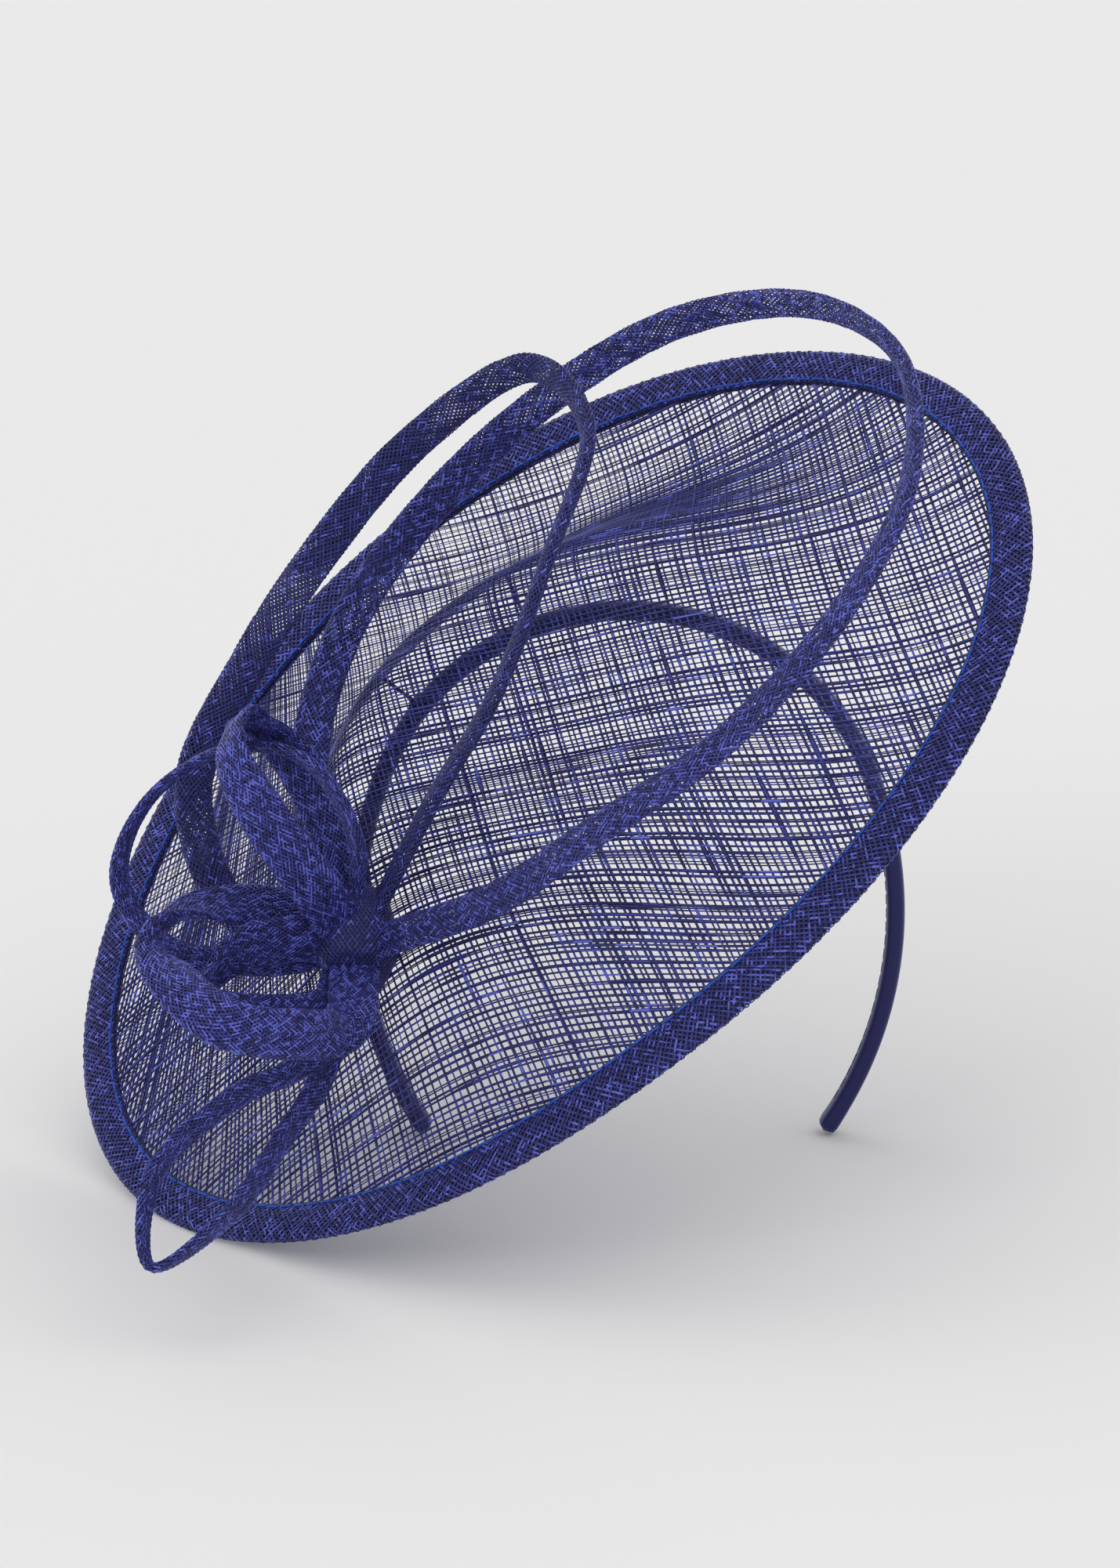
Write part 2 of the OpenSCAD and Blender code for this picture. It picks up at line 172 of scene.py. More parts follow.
def new_material(name, colour, rough, metal=0.0, sheen=0.0, specular=0.5, tint=None):
    """A glossy material whose highlights and sheen take the tint"""
    m = bpy.data.materials.new(name)
    m.use_nodes = True
    shader = m.node_tree.nodes["Principled BSDF"]
    shader.inputs["Base Color"].default_value = (*colour, 1)
    shader.inputs["Roughness"].default_value = rough
    shader.inputs["Metallic"].default_value = metal
    shader.inputs["Specular IOR Level"].default_value = specular
    shader.inputs["Sheen Weight"].default_value = sheen
    if tint:
        shader.inputs["Specular Tint"].default_value = (*tint, 1)
        shader.inputs["Sheen Tint"].default_value = (*tint, 1)
    return m


def grain(m, scale, strength, distance, stretch=(1, 1, 1), rough_range=None):
    """Adds a fine noise bump, and a roughness that varies with it"""
    tree = m.node_tree
    shader = tree.nodes["Principled BSDF"]
    coords = tree.nodes.new("ShaderNodeTexCoord")
    mapping = tree.nodes.new("ShaderNodeMapping")
    mapping.inputs["Scale"].default_value = stretch
    noise = tree.nodes.new("ShaderNodeTexNoise")
    noise.inputs["Scale"].default_value = scale
    noise.inputs["Detail"].default_value = 3
    bump = tree.nodes.new("ShaderNodeBump")
    bump.inputs["Strength"].default_value = strength
    bump.inputs["Distance"].default_value = distance
    tree.links.new(coords.outputs["Object"], mapping.inputs["Vector"])
    tree.links.new(mapping.outputs["Vector"], noise.inputs["Vector"])
    tree.links.new(noise.outputs["Fac"], bump.inputs["Height"])
    tree.links.new(bump.outputs["Normal"], shader.inputs["Normal"])
    if rough_range:
        spread = tree.nodes.new("ShaderNodeMapRange")
        spread.inputs["To Min"].default_value = rough_range[0]
        spread.inputs["To Max"].default_value = rough_range[1]
        tree.links.new(noise.outputs["Fac"], spread.inputs["Value"])
        tree.links.new(spread.outputs["Result"], shader.inputs["Roughness"])
    return m


VIOLET_BLUE = (0.42, 0.46, 1.0)
# shades of thread, in the order that a thread's shade numbers mean
THREADS = {
    "dark": new_material("thread_dark", (0.015, 0.013, 0.085), 0.38, 0.0, 0.1, 0.9, VIOLET_BLUE),
    "mid": new_material("thread_mid", (0.030, 0.031, 0.200), 0.30, 0.0, 0.15, 1.0, VIOLET_BLUE),
    # the light shade is partly paler thread and partly painted glint, put on short random stretches
    "light": new_material("thread_pale_and_painted_glint", (0.105, 0.125, 0.560), 0.26, 0.1, 0.2, 1.0, VIOLET_BLUE),
}
LINING = grain(new_material("lining_dark", (0.010, 0.010, 0.060), 0.6, 0, 0.1, 0.3), 900, 0.3, 0.0002)
SATIN = grain(new_material("satin_navy", (0.016, 0.015, 0.082), 0.36, 0.1, 0.15, 0.5, (0.5, 0.55, 1)),
              1400, 0.25, 0.0001, (1, 1, 0.15), (0.3, 0.46))
STITCH = new_material("stitch_blue", (0.010, 0.075, 0.52), 0.35, 0.1, 0.2, 0.6, (0.4, 0.6, 1))
STEEL = grain(new_material("spring_steel", (0.42, 0.43, 0.45), 0.35, 1.0), 600, 0.1, 0.0001, (1, 1, 8))


# ---- Threads ----

def finish_piece(obj, slot, nodes=(), materials=()):
    """Puts a new piece in the scene and on the body, in place of the CAD nodes it stands for"""
    for m in materials:
        obj.data.materials.append(m)
    bpy.context.scene.collection.objects.link(obj)
    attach(obj, "root")
    if nodes:
        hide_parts(*nodes)
    return obj


def mesh_from(name, verts, faces, shade=None):
    """A smooth-shaded object; verts in millimetres, shade is each face's material number"""
    mesh = bpy.data.meshes.new(name)
    mesh.from_pydata((verts * MM).tolist(), [], faces)
    mesh.polygons.foreach_set("use_smooth", np.ones(len(mesh.polygons), bool))
    if shade is not None:
        mesh.polygons.foreach_set("material_index", np.asarray(shade, np.int32))
    mesh.update()
    return bpy.data.objects.new(name, mesh)


def thread_mesh(name, threads):
    """One closed diamond-section tube for each thread: (points, normals, widths, thickness, shades)"""
    verts, faces, shades, base = [], [], [], 0
    for points, normals, widths, thick, shade in threads:
        n = len(points)
        if n < 2:
            continue
        along = unit(np.gradient(points, axis=0))
        side = unit(np.cross(normals, along))
        lift = np.cross(along, side)
        half = np.asarray(widths)[:, None] / 2 * np.ones((n, 1))
        high = np.broadcast_to(thick, n)[:, None] / 2
        ring = np.stack([points + side * half, points + lift * high,
                         points - side * half, points - lift * high], 1)
        verts.append(ring.reshape(-1, 3))
        i = np.arange(n - 1)[:, None] * 4 + base
        k = np.arange(4)[None, :]
        quads = np.stack([i + k, i + (k + 1) % 4, i + 4 + (k + 1) % 4, i + 4 + k], -1).reshape(-1, 4)
        last = base + 4 * (n - 1)
        caps = np.array([[base + 3, base + 2, base + 1, base], [last, last + 1, last + 2, last + 3]])
        faces.append(np.concatenate([quads[:, ::-1], caps[:, ::-1]]))
        shade = np.broadcast_to(shade, n - 1)
        shades.append(np.concatenate([np.repeat(shade, 4), shade[[0, -1]]]))
        base += 4 * n
    return mesh_from(name, np.concatenate(verts), np.concatenate(faces).tolist(), np.concatenate(shades))


def pick_shades(rng, count, odds):
    """Random shade numbers, one for each stretch of a thread; light stretches are partly paler thread, partly
    painted glints
    """
    return rng.choice(len(THREADS), count, p=odds)


def weave_lift(count, k, middle, wave):
    """Heights of thread k's points, alternately over and under those of the threads it crosses"""
    return middle + wave * (-1.0) ** (np.arange(count) + k)[:, None]


def slubs(rng, s, width, every, thickest):
    """Width along a thread, with thicker stretches here and there"""
    out = np.full(len(s), width)
    length = s[-1] - s[0]
    for _ in range(rng.poisson(length / every)):
        centre, reach = rng.uniform(s[0], s[-1]), rng.uniform(3, 11)
        out = out + rng.uniform(0.15, thickest) * np.exp(-((s - centre) / reach) ** 2)
    return out


# ---- Disc: two plies of open-weave sinamay ----

PITCH, PITCH_SPREAD = 1.62, (0.72, 1.28)
EDGE_TUCK = 6.0
STEP = 4.0
PLY_THREAD_W, PLY_THREAD_T, PLY_THREAD_SPREAD, SLUB_MAX = 0.42, 0.44, 0.16, 1.5
PLY_HEIGHT, CROSSING_LIFT, PLY_DRIFT = 0.2, 0.08, 0.15
THICK_THREAD_ODDS, THICK_THREAD = 0.02, 1.7
FAR_BRIM_FINER = 0.32
LINE_SEED = 7


def row_lines(rng):
    """Threads that run across the disc: they sweep towards its length at both ends"""
    x = np.arange(-DISC_A, DISC_A + STEP, STEP)
    heading = np.radians(-38 + 43 * (np.abs(x) / 150) ** 1.6)
    rise = np.concatenate([[0], np.cumsum(np.tan((heading[1:] + heading[:-1]) / 2) * STEP)])
    rise -= np.interp(0, x, rise)
    reach = 260.0
    y0 = -reach
    while y0 < reach:
        y0 += PITCH / cos(radians(30)) * rng.uniform(*PITCH_SPREAD)
        yield x, y0 + rise


def column_lines(rng):
    """Threads that run up the disc: they fan out towards its lower left end"""
    y = np.arange(-DISC_B, DISC_B + STEP, STEP)
    reach = 230.0
    x0 = -reach
    while x0 < reach:
        x0 += PITCH / sin(radians(72)) * rng.uniform(*PITCH_SPREAD)
        fan = np.clip((-x0 - 20) / 130, 0, 1) ** 1.3
        heading = radians(76 - 28 * fan)
        yield x0 + y * cos(heading) / sin(heading), y


def far_brim_fineness(x, y):
    """Threads are finer in the open part of the far brim: a share of their size"""
    return 1 - FAR_BRIM_FINER * np.clip((y - 30) / 35, 0, 1) * np.clip((110 - x) / 50, 0, 1)


def sinamay(name, seed, height, shade_odds, slub_every, thickest):
    """One ply; both plies follow the same lines of the cloth, each with its own threads"""
    rng, line_rng = np.random.default_rng(seed), np.random.default_rng(LINE_SEED)
    threads = []
    for family, lift in ((row_lines, CROSSING_LIFT), (column_lines, -CROSSING_LIFT)):
        for x, y in family(line_rng):
            wide = PLY_THREAD_W * rng.lognormal(0, PLY_THREAD_SPREAD)
            shade = pick_shades(rng, len(x), shade_odds)
            if rng.random() < THICK_THREAD_ODDS:
                wide *= THICK_THREAD
            drift = rng.normal(0, PLY_DRIFT)
            inside = (x / (DISC_A - EDGE_TUCK)) ** 2 + (y / (DISC_B - EDGE_TUCK)) ** 2 < 1
            widths = slubs(rng, run_length_flat(x, y), wide, slub_every, thickest)
            if inside.sum() < 3:
                continue
            x, y, widths = x[inside] + drift, y[inside] + drift, np.minimum(widths[inside], SLUB_MAX)
            fine = far_brim_fineness(x, y)
            local = np.stack([x, y, cloth(x, y) + height + lift], -1)
            threads.append((to_world(local), turned(cloth_normal(x, y)),
                            widths * fine, PLY_THREAD_T * fine, shade[inside][1:]))
    return thread_mesh(name, threads)


def make_disc():
    """Both plies, with the flat size and area that each was cut to"""
    flat = (2 * DISC_A * MM, 2 * DISC_B * MM)
    area = pi * DISC_A * DISC_B * MM * MM
    outer = finish_piece(sinamay("sinamay_outer", 8, PLY_HEIGHT, (0.50, 0.44, 0.06), 55, 0.6),
                         "sinamay", ["sinamay_outer_ply"], list(THREADS.values()))
    inner = finish_piece(sinamay("sinamay_inner", 11, -PLY_HEIGHT, (0.45, 0.45, 0.10), 70, 0.5),
                         "sinamay", ["sinamay_inner_ply"], list(THREADS.values()))
    return outer, inner, flat, area


# ---- Strips: flattened tubes with two bias families of threads ----

def along_curve(points, per_span):
    """A smooth curve through the points"""
    p = np.asarray(points, float)
    ends = np.vstack([2 * p[0] - p[1], p, 2 * p[-1] - p[-2]])
    t = np.arange(per_span)[:, None] / per_span
    out = []
    for i in range(1, len(p)):
        a, b, c, d = ends[i - 1:i + 3]
        out.append(0.5 * (2 * b + (c - a) * t + (2 * a - 5 * b + 4 * c - d) * t ** 2
                          + (3 * b - a - 3 * c + d) * t ** 3))
    return np.vstack(out + [p[-1:]])


KNOT_CENTRE = np.array([*KNOT_AT, cloth(*KNOT_AT) + KNOT_HALF[2] + 1])
KNOT_DOWN = unit(np.array([-0.64, -0.56, -0.53]))
KNOT_SIDE = unit(np.array([0.76, -0.42, -0.49]))
KNOT_FRONT = unit(np.array([0.05, -0.72, 0.69]))


def strip_root(p):
    """Where a strip's end goes under the knot, with the same turn"""
    return np.array([*(KNOT_CENTRE + ROOT_DEPTH * unit(p[:3] - KNOT_CENTRE)), p[3]])


def strip_path(route):
    """Centre line, width direction and thickness direction, in the model's axes, and distance along"""
    pts = np.array([(x, y, cloth(float(x), float(y)) + h, turn) for x, y, h, turn in route])
    path = along_curve(np.vstack([strip_root(pts[0]), pts, strip_root(pts[-1])]), 16)
    length = run_length(path[:, :3])
    even = np.linspace(0, length[-1], int(length[-1]) + 1)
    spots = rows_at(even, length, path[:, :3])
    turn = np.interp(even, length, np.radians(path[:, 3]))[:, None]
    along = unit(np.gradient(spots, axis=0))
    flat = unit(np.cross(along, KNOT_FRONT))
    edge = np.cross(flat, along)
    wide = np.cos(turn) * flat + np.sin(turn) * edge
    thin = np.cross(along, wide)
    return to_world(spots), turned(wide), turned(thin), even


def squared(wave, power):
    """A sine or cosine with its power lowered, which squares the corners of the oval it draws"""
    return np.sign(wave) * np.abs(wave) ** power


def section_table(w, t):
    """Points and normals round a flattened tube, by distance round it"""
    q = np.linspace(0, 2 * pi, 97)
    p = np.stack([w / 2 * squared(np.cos(q), 0.8), t / 2 * squared(np.sin(q), 0.8)], -1)
    return run_length(p), p, unit(np.stack([np.cos(q) / w, np.sin(q) / t], -1))


class Strip(NamedTuple):
    node: str
    slot: str
    w: float
    t: float
    seed: int
    angle: float
    pitch: float
    thread_w: float
    shade_odds: tuple
    lined: bool


# shade odds: dark, mid and light stretches; the light stretches are partly paler thread, partly painted
# glints
STRIPS = {
    "tall_near": Strip("loop_tall_near", "braid_dark", TALL_W, TALL_T, 21, 36, 1.0, 0.62,
                       (0.75, 0.20, 0.05), False),
    "tall_far": Strip("loop_tall_far", "braid", TALL_W, TALL_T, 22, 34, 1.0, 0.62,
                      (0.45, 0.35, 0.20), False),
    "thin_ring": Strip("loop_thin_ring", "braid", THIN_W, FLAT_T, 23, 22, 0.8, 0.55,
                       (0.38, 0.38, 0.24), True),
    "wide_front": Strip("loop_wide_front", "strip_light", WIDE_W, FLAT_T, 24, 30, 0.9, 0.62,
                        (0.32, 0.38, 0.30), True),
    "wide_low": Strip("loop_wide_low", "strip_light", WIDE_W, FLAT_T, 25, 30, 0.9, 0.62,
                      (0.38, 0.36, 0.26), True),
    "inner_roll": Strip("loop_inner_roll", "strip_light", WIDE_W, FLAT_T, 26, 30, 0.9, 0.60,
                        (0.42, 0.36, 0.22), True),
    "hanging": Strip("loop_hanging", "braid", HANG_W, FLAT_T, 27, 30, 0.9, 0.58,
                     (0.40, 0.40, 0.20), True),
}
BRAID_STEP, BRAID_THREAD_T = 1.7, 0.26
BRAID_HEIGHT, BRAID_WAVE = 0.02, 0.10
THREAD_SPREAD = 0.12
LINING_STEP, LINING_SIDES = 2.5, 16
LINING_INSET_W, LINING_INSET_T = 0.5, 0.45


def braid(path, strip):
    """Threads of a strip, wound both ways round it at an angle to its length"""
    rng = np.random.default_rng(strip.seed)
    spots, wide, thin, even = path
    round_s, round_p, round_n = section_table(strip.w, strip.t)
    girth = round_s[-1]
    slant = radians(strip.angle)
    count = max(6, int(round(girth * cos(slant) / strip.pitch)))
    run = np.arange(0, even[-1], BRAID_STEP * cos(slant))
    at, across, through = (rows_at(run, even, v) for v in (spots, wide, thin))
    threads = []
    for way in (1, -1):
        for k in range(count):
            lift = weave_lift(len(run), k, BRAID_HEIGHT, BRAID_WAVE)
            start = (k + rng.uniform(-0.12, 0.12)) * girth / count
            s = (start + way * run * np.tan(slant)) % girth
            offset = rows_at(s, round_s, round_p)
            out = rows_at(s, round_s, round_n)
            normal = unit(out[:, :1] * across + out[:, 1:] * through)
            points = at + offset[:, :1] * across + offset[:, 1:] * through + normal * lift
            shade = pick_shades(rng, len(run) - 1, strip.shade_odds)
            width = strip.thread_w * rng.lognormal(0, THREAD_SPREAD)
            threads.append((points, normal, np.full(len(run), width), BRAID_THREAD_T, shade))
    return threads


def swept_mesh(name, rings, closed=False):
    """A closed surface through rings of points: capped at both ends, or joined end to end"""
    n, m = rings.shape[:2]
    i = np.arange(n if closed else n - 1)[:, None]
    k = np.arange(m)[None, :]
    j = (i + 1) % n
    next_k = (k + 1) % m
    faces = np.stack([i * m + k, i * m + next_k, j * m + next_k, j * m + k], -1).reshape(-1, 4).tolist()
    if not closed:
        faces.append(list(range(m - 1, -1, -1)))
        faces.append([(n - 1) * m + c for c in range(m)])
    return mesh_from(name, rings.reshape(-1, 3), faces)


def strip_lining(name, path, strip):
    """A dark core inside the threads of a strip"""
    spots, wide, thin, even = path
    run = np.linspace(0, even[-1], int(even[-1] / LINING_STEP) + 1)
    at, across, through = (rows_at(run, even, v)[:, None] for v in (spots, wide, thin))
    q = np.arange(LINING_SIDES) * 2 * pi / LINING_SIDES
    x = (strip.w / 2 - LINING_INSET_W) * np.cos(q)[None, :, None]
    y = (strip.t / 2 - LINING_INSET_T) * np.sin(q)[None, :, None]
    return swept_mesh(f"lining_{name}", at + x * across + y * through)


def make_strips():
    """Threads of every strip, and the lining of those that let no light through"""
    made = []
    for name, strip in STRIPS.items():
        path = strip_path(ROUTES[name])
        obj = finish_piece(thread_mesh(f"strip_{name}", braid(path, strip)), strip.slot, [strip.node],
                           list(THREADS.values()))
        if strip.lined:
            finish_piece(strip_lining(name, path, strip), strip.slot, (), [LINING])
        made.append((obj, path[3][-1], strip))
    return made


# ---- Brim edge ----

RIM_STEPS, STITCH_STEPS, LINING_STEPS = 2880, 4000, 360
FOLD_STEP, FOLD_LEAF_GAP, FOLD_BULGE = 1.15, 0.75, 0.35
BINDING_PITCH, BINDING_SLANT = 1.25, 45
BINDING_THREAD_W, BINDING_THREAD_T = 0.66, 0.28
BINDING_HEIGHT, BINDING_WAVE = 0.04, 0.10
TOPSTITCH, TOPSTITCH_GAP, TOPSTITCH_INSET = 4.2, 0.7, BINDING_W - 0.7


def brim_curve(n):
    """Angles of n points at even steps round the disc's edge, and the edge's length"""
    a = np.linspace(0, 2 * pi, 1441)
    s = run_length_flat(DISC_A * np.cos(a), DISC_B * np.sin(a))
    return np.interp(np.linspace(0, s[-1], n, endpoint=False), s, a), s[-1]


def brim_spot(a, inset, h):
    """Points at angle a, an inset from the disc's edge and a height above the cloth"""
    x, y = (DISC_A - inset) * np.cos(a), (DISC_B - inset) * np.sin(a)
    return np.stack([x, y, cloth(x, y) + h], -1)


def fold_table():
    """The binding's outside: top leaf, round nose, bottom leaf, as inset, height and normal"""
    nose = BINDING_T / 2
    q = np.linspace(pi / 2, 3 * pi / 2, 13)
    leaf = np.linspace(0, 1, 10)
    rise = FOLD_LEAF_GAP + (nose - FOLD_LEAF_GAP) * np.sin(leaf * pi / 2) + FOLD_BULGE * np.sin(leaf * pi)
    top = np.stack([BINDING_W + (nose - BINDING_W) * leaf, rise], -1)
    round_ = np.stack([nose + nose * np.cos(q), nose * np.sin(q)], -1)
    bottom = top[::-1] * [1, -1]
    p = np.vstack([top[:-1], round_, bottom[1:]])
    d = np.gradient(p, axis=0)
    return run_length(p), p, unit(np.stack([d[:, 1], -d[:, 0]], -1))


def rim_axes(a):
    """Inward and upward directions at the edge, in the disc's axes"""
    inward = unit(brim_spot(a, 3.0, 0) - brim_spot(a, 0.0, 0))
    x, y = (DISC_A - 2) * np.cos(a), (DISC_B - 2) * np.sin(a)
    return inward, cloth_normal(x, y)


def make_binding():
    """Bias threads folded over the disc's edge, crossed both ways, over a dark lining"""
    rng = np.random.default_rng(31)
    s_fold, p_fold, n_fold = fold_table()
    angles, length = brim_curve(RIM_STEPS)
    where = np.arange(RIM_STEPS) / RIM_STEPS * length
    count = int(length / (BINDING_PITCH / sin(radians(BINDING_SLANT))))
    q = np.arange(0, s_fold[-1] + 0.01, FOLD_STEP)
    inset, h = rows_at(q, s_fold, p_fold).T
    n = rows_at(q, s_fold, n_fold)
    threads = []
    for way in (1, -1):
        for k in range(count):
            lift = weave_lift(len(q), k, BINDING_HEIGHT, BINDING_WAVE)
            start = (k + rng.uniform(-0.15, 0.15)) * length / count
            s = (start + way * q / np.tan(radians(BINDING_SLANT))) % length
            a = np.interp(s, where, angles)
            inward, up = rim_axes(a)
            normal = unit(n[:, :1] * inward + n[:, 1:] * up)
            points = brim_spot(a, inset, h) + normal * lift
            shade = pick_shades(rng, len(q) - 1, (0.45, 0.38, 0.17))
            width = np.full(len(q), BINDING_THREAD_W * rng.lognormal(0, THREAD_SPREAD))
            threads.append((to_world(points), turned(normal), width, BINDING_THREAD_T, shade))
    edge = finish_piece(thread_mesh("binding_threads", threads), "bias_binding", ["edge_binding"],
                        list(THREADS.values()))
    a = brim_curve(LINING_STEPS)[0]
    inner = np.vstack([p_fold * [1, 0.8] + [0.35, 0], [[BINDING_W, -0.4], [BINDING_W, 0.4]]])
    rings = np.stack([to_world(brim_spot(a, p[0], p[1])) for p in inner], 1)
    finish_piece(swept_mesh("binding_lining", rings[:, ::-1], True), "bias_binding", (), [LINING])
    return edge, length


def make_topstitch():
    """One raised stitch after another along the binding's inner edge"""
    rng = np.random.default_rng(5)
    angles, length = brim_curve(STITCH_STEPS)
    where = np.arange(STITCH_STEPS) / STITCH_STEPS * length
    rise = np.sin(np.linspace(0, pi, 5)) * 0.25
    threads = []
    for k in range(int(length / (TOPSTITCH + TOPSTITCH_GAP))):
        s = k * (TOPSTITCH + TOPSTITCH_GAP) + np.linspace(0, TOPSTITCH, 5)
        a = np.interp(s % length, where, angles)
        inset = TOPSTITCH_INSET + rng.uniform(-0.15, 0.15)
        points = brim_spot(a, inset, 1.15 + rise)
        normal = turned(cloth_normal(points[:, 0], points[:, 1]))
        threads.append((to_world(points), normal, np.full(5, 0.62), 0.5, 0))
    finish_piece(thread_mesh("topstitch", threads), "thread_blue", ["binding_topstitch"], [STITCH])


# ---- Headband ----

BAND_STEP = 1.5
NOSE_LENGTH = 2.6
FLARE, FLARE_LENGTH = 0.07, 7
BAND_SIDES, BAND_SQUARENESS = 28, 0.62
SEAM_STITCH, SEAM_PITCH, SEAM_FROM_TIP = 2.8, 4.0, 6
Y_AXIS = np.array([0.0, 1, 0])


def band_path(extra):
    """Middle of the band from the left tip to the right: points, outward directions, distances, length"""
    half = radians(BAND_HALF_ANGLE)
    end = radians(BAND_HALF_ANGLE + LEG_SWEEP) + extra / LEG_R
    s_leg, s_arc = LEG_R * (end - half), BAND_R * half
    total = 2 * (s_leg + s_arc)
    s = np.linspace(-total / 2, total / 2, int(total / BAND_STEP) + 1)
    away = np.abs(s)
    turn = np.where(away < s_arc, away / BAND_R, half + (away - s_arc) / LEG_R)
    x = np.where(away < s_arc, BAND_R * np.sin(turn),
                 BAND_R * sin(half) + LEG_R * (np.sin(turn) - sin(half)))
    z = np.where(away < s_arc, BAND_R * np.cos(turn),
                 BAND_R * cos(half) - LEG_R * (cos(half) - np.cos(turn)))
    sign = np.sign(s)
    zero = np.zeros_like(s)
    points = np.stack([sign * x, zero, z], -1)
    outward = np.stack([sign * np.sin(turn), zero, np.cos(turn)], -1)
    return points, outward, s, total


def make_headband():
    """The satin, rounded and a little wider at its tips, and the seam stitches on its inner face"""
    points, outward, s, total = band_path(CAP_LEN - 0.2)
    to_end = total / 2 - np.abs(s)
    nose = np.sqrt(np.clip(1 - (1 - np.clip(to_end / NOSE_LENGTH, 0, 1)) ** 2, 0.004, 1))
    flare = 1 + FLARE * np.exp(-(to_end / FLARE_LENGTH) ** 2)
    q = np.arange(BAND_SIDES) * 2 * pi / BAND_SIDES
    px, py = squared(np.cos(q), BAND_SQUARENESS), squared(np.sin(q), BAND_SQUARENESS)
    size = (nose * flare)[:, None, None]
    rings = (points[:, None] + size * BAND_T / 2 * px[None, :, None] * outward[:, None]
             + size * BAND_W / 2 * py[None, :, None] * Y_AXIS)
    finish_piece(swept_mesh("headband_satin", rings), "satin",
                 ["headband_cover", "headband_cap_left", "headband_cap_right"], [SATIN])
    rng = np.random.default_rng(3)
    keep = to_end > SEAM_FROM_TIP
    spots, outs, along = (points - outward * (BAND_T / 2 + 0.02))[keep], outward[keep], s[keep]
    threads = []
    for start in np.arange(along[0], along[-1] - 3, SEAM_PITCH):
        at = start + np.linspace(0, SEAM_STITCH, 4)
        p = rows_at(at, along, spots) + Y_AXIS * rng.uniform(-0.15, 0.15)
        threads.append((p, -rows_at(at, along, outs), np.full(4, 0.4), 0.3, 0))
    finish_piece(thread_mesh("headband_seam_stitches", threads), "satin", (), [THREADS["dark"]])


def shank_length(out):
    """How far a straight shank runs from the band's outer face to the underside of the cloth"""
    for length in np.arange(0, 30, 0.25):
        spot = ((BAND_R + BAND_T / 2 + length) * out - DISC_ORIGIN) @ DISC_AXES
        if spot[2] > cloth(spot[0], spot[1]) - 0.9:
            break
    return length


def band_out(angle):
    """Direction outward from the band's centre, in its plane"""
    a = radians(angle)
    return np.array([cos(a), 0, sin(a)])


def make_tacks():
    """Thread over the band's outer face and a little of its sides, with a shank up to the cloth"""
    rng = np.random.default_rng(9)
    side, top = BAND_W / 2 + 0.3, BAND_T / 2 + 0.3
    across = np.array([-side, -side, -side, 1 - side, 0, side - 1, side, side, side])
    up = np.array([top - TACK_GRIP, top - 2, top - 1, top, top, top, top - 1, top - 2, top - TACK_GRIP])
    for angle, name in zip(TACK_ANGLES, ("left", "right")):
        threads = []
        for k in range(7):
            out = band_out(angle + (k - 3) * 0.45)
            p = (BAND_R + up)[:, None] * out + across[:, None] * Y_AXIS
            threads.append((p, unit(p - (BAND_R - 1) * out), np.full(len(p), 0.55), 0.5, 0))
        out = band_out(angle)
        reach = shank_length(out)
        for k in range(5):
            lean = rng.uniform(-0.5, 0.5, 2)
            foot = (BAND_R + BAND_T / 2) * out + Y_AXIS * (k - 2) * 0.7
            head = foot + out * reach + Y_AXIS * lean[0] + np.cross(out, Y_AXIS) * lean[1]
            p = np.linspace(foot, head, 5)
            threads.append((p, np.tile([0, 1.0, 0.01], (5, 1)), np.full(5, 0.5), 0.5, 0))
        finish_piece(thread_mesh(f"tack_{name}", threads), "thread_navy", [f"band_tack_{name}"],
                     [THREADS["dark"]])


# ---- Knot ----

KNOT_THREADS, KNOT_THREAD_POINTS, KNOT_TWIST = 54, 30, 1.2
KNOT_THREAD_W, KNOT_THREAD_T = 0.55, 0.22


def knot_skin(along, around, proud=0.0):
    """Points of the knot's cloth, and their outward directions, in the disc's axes"""
    blunt = np.sqrt(np.clip(1 - along ** 2, 0.002, 1))
    pointed = np.clip(1 - along, 0.002, 1) ** 0.75
    swell = np.where(along < 0, blunt, pointed)
    pleat = 1 + 0.05 * np.sin(3 * around + 2.0 * along)
    deep = np.where(np.sin(around) > 0, KNOT_BULGE, KNOT_HALF[2])
    ring = (KNOT_HALF[1] * np.cos(around)[..., None] * KNOT_SIDE
            + (deep * np.sin(around))[..., None] * KNOT_FRONT)
    middle = KNOT_CENTRE + KNOT_HALF[0] * along[..., None] * KNOT_DOWN
    outward = unit(ring)
    return middle + (swell * pleat)[..., None] * ring + proud * outward, outward


def make_knot():
    """A strip wrapped over the roots, narrowing to a point, with its own crossed threads"""
    along, around = np.meshgrid(np.linspace(-1, 1, 40), np.arange(36) * 2 * pi / 36, indexing="ij")
    rings = knot_skin(along, around)[0]
    finish_piece(swept_mesh("knot_cloth", to_world(rings)), "knot_cloth", ["knot_wrap"], [LINING])
    rng = np.random.default_rng(41)
    count, n = KNOT_THREADS, KNOT_THREAD_POINTS
    t = np.linspace(-0.97, 0.95, n)
    threads = []
    for way in (1, -1):
        for k in range(count):
            a = (k + rng.uniform(-0.1, 0.1)) * 2 * pi / count + way * KNOT_TWIST * t
            points, normal = knot_skin(t, a, weave_lift(n, k, 0.12, 0.06))
            shade = pick_shades(rng, n - 1, (0.65, 0.32, 0.03))
            width = np.full(n, KNOT_THREAD_W)
            threads.append((to_world(points), turned(normal), width, KNOT_THREAD_T, shade))
    finish_piece(thread_mesh("knot_threads", threads), "knot_cloth", (), list(THREADS.values()))


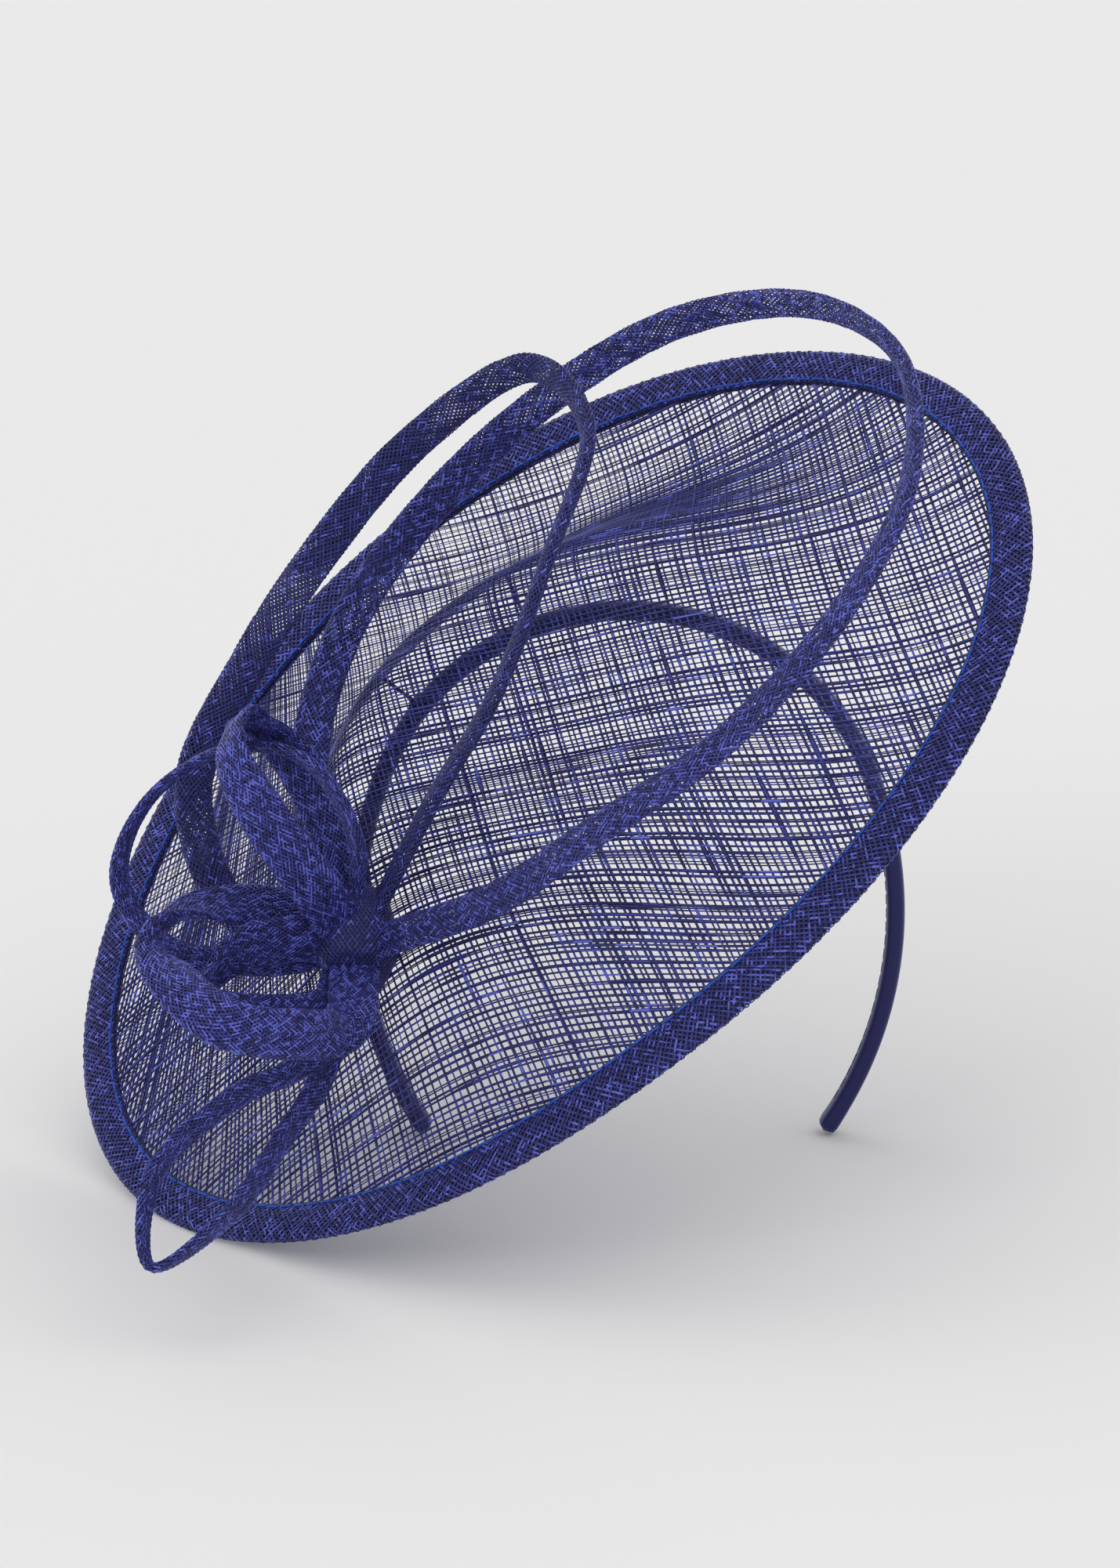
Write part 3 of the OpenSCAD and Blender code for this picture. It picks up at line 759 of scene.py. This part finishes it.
def make_trim_stitches():
    """Two threads on the underside that sew the knot down"""
    threads = []
    y = KNOT_AT[1] + np.linspace(-3, 3, 6)
    for k in (-1, 1):
        x = np.full(6, KNOT_AT[0] + 3 * k)
        p = np.stack([x, y, cloth(x, y) - 1.0], -1)
        threads.append((to_world(p), turned(-cloth_normal(x, y)), np.full(6, 0.6), 0.5, 0))
    finish_piece(thread_mesh("trim_stitches_under", threads), "thread_navy", ["trim_stitches"],
                 [THREADS["dark"]])


# ---- Stage ----

def make_stage():
    """A wide pale floor under the lowest point"""
    z = cad_box[0][2]
    far = 12.0
    mesh = bpy.data.meshes.new("floor")
    mesh.from_pydata([(-far, -far, z), (far, -far, z), (far, far, z), (-far, far, z)], [], [(0, 1, 2, 3)])
    floor = bpy.data.objects.new("floor", mesh)
    bpy.context.scene.collection.objects.link(floor)
    mesh.materials.append(new_material("floor_paper", (0.86, 0.86, 0.857), 0.9, 0, 0, 0.1))


def soft_sun(name, towards, strength, spread):
    """A wide sun, so that the floor is lit evenly and shadows are soft"""
    data = bpy.data.lights.new(name, "SUN")
    data.energy = strength
    data.angle = radians(spread)
    light = bpy.data.objects.new(name, data)
    light.rotation_euler = Vector(towards).to_track_quat("-Z", "Y").to_euler()
    bpy.context.scene.collection.objects.link(light)


def make_lights():
    """An even bright surround and two soft suns"""
    world = bpy.data.worlds.new("studio")
    world.use_nodes = True
    world.node_tree.nodes["Background"].inputs["Color"].default_value = (1, 1, 1, 1)
    world.node_tree.nodes["Background"].inputs["Strength"].default_value = 0.80
    bpy.context.scene.world = world
    soft_sun("top", (-0.15, 0.15, -1), 0.27, 90)
    soft_sun("front", (0.5, 0.8, -0.6), 0.42, 30)
    bpy.context.scene.view_settings.view_transform = "Standard"


CAMERA_DISTANCE, CAMERA_DOWN = 1800.0, 17.0
TARGET = np.array([-18.1, 0, 21.6])
FOCAL_MM, SENSOR_MM = 152.2, 36


def make_camera():
    """A long lens from the front, a little above"""
    data = bpy.data.cameras.new("camera")
    data.lens = FOCAL_MM
    data.sensor_fit = "AUTO"
    data.sensor_width = SENSOR_MM
    data.clip_end = 30
    cam = bpy.data.objects.new("camera", data)
    a = radians(CAMERA_DOWN)
    eye = TARGET - CAMERA_DISTANCE * np.array([0, cos(a), -sin(a)])
    cam.location = eye * MM
    cam.rotation_euler = (pi / 2 - a, 0, 0)
    bpy.context.scene.collection.objects.link(cam)
    bpy.context.scene.camera = cam


make_camera()
outer, inner, disc_flat, disc_area = make_disc()
edge, rim_length = make_binding()
make_topstitch()
for piece, length, strip in make_strips():
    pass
make_headband()
make_tacks()
make_knot()
make_trim_stitches()
for node in ("brim_wire", "headband_core"):
    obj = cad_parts[node]
    obj.data.materials.clear()
    obj.data.materials.append(STEEL)
make_stage()
make_lights()
